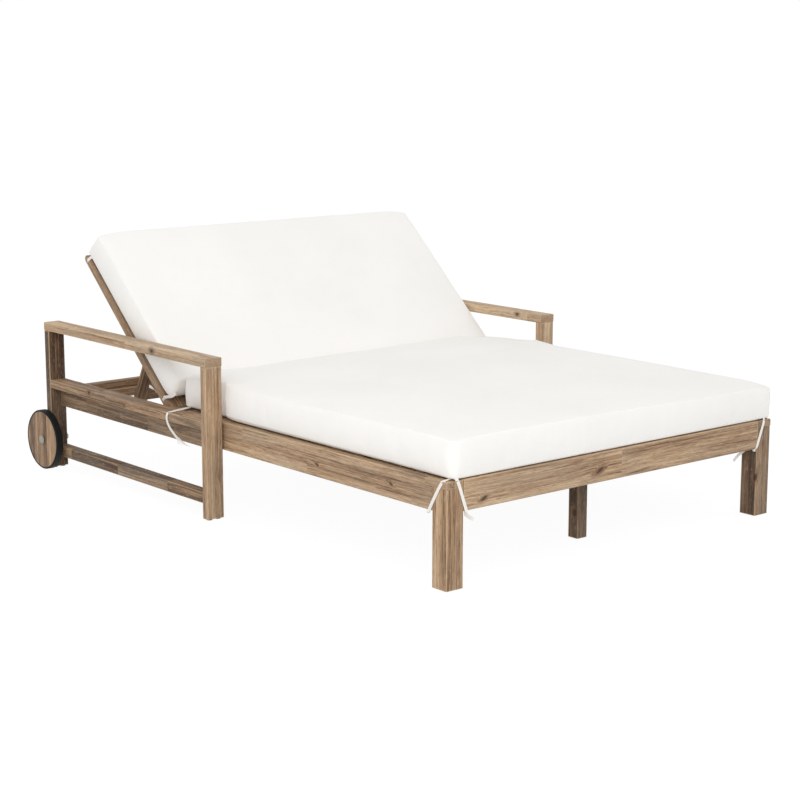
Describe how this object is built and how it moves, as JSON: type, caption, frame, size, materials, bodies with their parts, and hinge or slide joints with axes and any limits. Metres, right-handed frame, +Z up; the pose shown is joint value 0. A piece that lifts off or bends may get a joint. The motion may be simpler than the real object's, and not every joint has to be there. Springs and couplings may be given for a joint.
{
  "type": "sun lounger",
  "caption": "Double-width wooden sun lounger with open arm frames, wheels at the head end, crowned cushions with ties, and a backrest that folds flat on a hinged prop.",
  "frame": {"origin": "middle of the footprint's box, on the floor", "axes": "+X to the right seen from the foot end, +Y towards the head end with the wheels, +Z up"},
  "size_m": [1.5216, 2.0714, 0.8097],
  "materials": {
    "timber": "oiled, weathered",
    "arm_timber": "oiled, weathered",
    "slat_timber": "oiled",
    "back_timber": "oiled",
    "prop_timber": "oiled",
    "wheel_timber": "oiled, weathered",
    "tyre": "matt",
    "bush": "matt",
    "steel": "brushed",
    "glide": "matt",
    "seat_fabric": "woven, off-white",
    "back_fabric": "woven, off-white",
    "tape": "woven tape"
  },
  "bodies": {
    "frame": {"apron_left": "timber", "apron_right": "timber", "arm_left": "arm_timber", "arm_right": "arm_timber", "axle_caps": "steel", "centre_beam": "timber", "dowels": "timber", "foot_rail": "timber", "front_leg_left": "timber", "front_leg_right": "timber", "front_post_left": "timber", "front_post_right": "timber", "glides": "glide", "head_ledger": "timber", "head_rail": "timber", "hinge_bolts": "steel", "hinge_clevises": "steel", "hinge_rail": "timber", "lower_rail_left": "timber", "lower_rail_right": "timber", "mid_rail_left": "timber", "mid_rail_right": "timber", "middle_leg": "timber", "notched_rail_left": "timber", "notched_rail_right": "timber", "rail_bolts": "steel", "rear_post_left": "timber", "rear_post_right": "timber", "seat_cushion": "seat_fabric", "seat_ledgers": "timber", "seat_slats": "slat_timber", "seat_ties": "tape", "side_rail_left": "timber", "side_rail_right": "timber", "wheel_axles": "steel", "wheel_spacers": "steel"},
    "backrest": {"back_batten": "back_timber", "back_bottom_rail": "back_timber", "back_cushion": "back_fabric", "back_slats": "slat_timber", "back_stile_left": "back_timber", "back_stile_right": "back_timber", "back_ties": "tape", "back_top_rail": "back_timber", "prop_bolts": "steel", "prop_plates": "steel"},
    "prop": {"prop_board_lower": "prop_timber", "prop_board_upper": "prop_timber", "prop_foot_pins": "steel", "prop_leg_left": "prop_timber", "prop_leg_right": "prop_timber"},
    "wheel_left": {"wheel_bush_left": "bush", "wheel_disc_left": "wheel_timber", "wheel_tyre_left": "tyre"},
    "wheel_right": {"wheel_bush_right": "bush", "wheel_disc_right": "wheel_timber", "wheel_tyre_right": "tyre"}
  },
  "joints": [
    {"name": "backrest_hinge", "type": "hinge", "parent": "frame", "child": "backrest", "pos_m": [0, 0.30445, 0.2845], "axis": [1, 0, 0], "range_deg": [-42.5, 0]},
    {"name": "prop_hinge", "type": "hinge", "parent": "backrest", "child": "prop", "pos_m": [0, 0.51753, 0.4472], "axis": [1, 0, 0], "range_deg": [0, 105.01]},
    {"name": "wheel_left_spin", "type": "hinge", "parent": "frame", "child": "wheel_left", "pos_m": [-0.7455, 0.93465, 0.101], "axis": [1, 0, 0], "continuous": true},
    {"name": "wheel_right_spin", "type": "hinge", "parent": "frame", "child": "wheel_right", "pos_m": [0.7455, 0.93465, 0.101], "axis": [1, 0, 0], "continuous": true}
  ],
  "couplings": [
    {"joint": "prop_hinge", "follows": "backrest_hinge", "ratio": -2.4706}
  ]
}
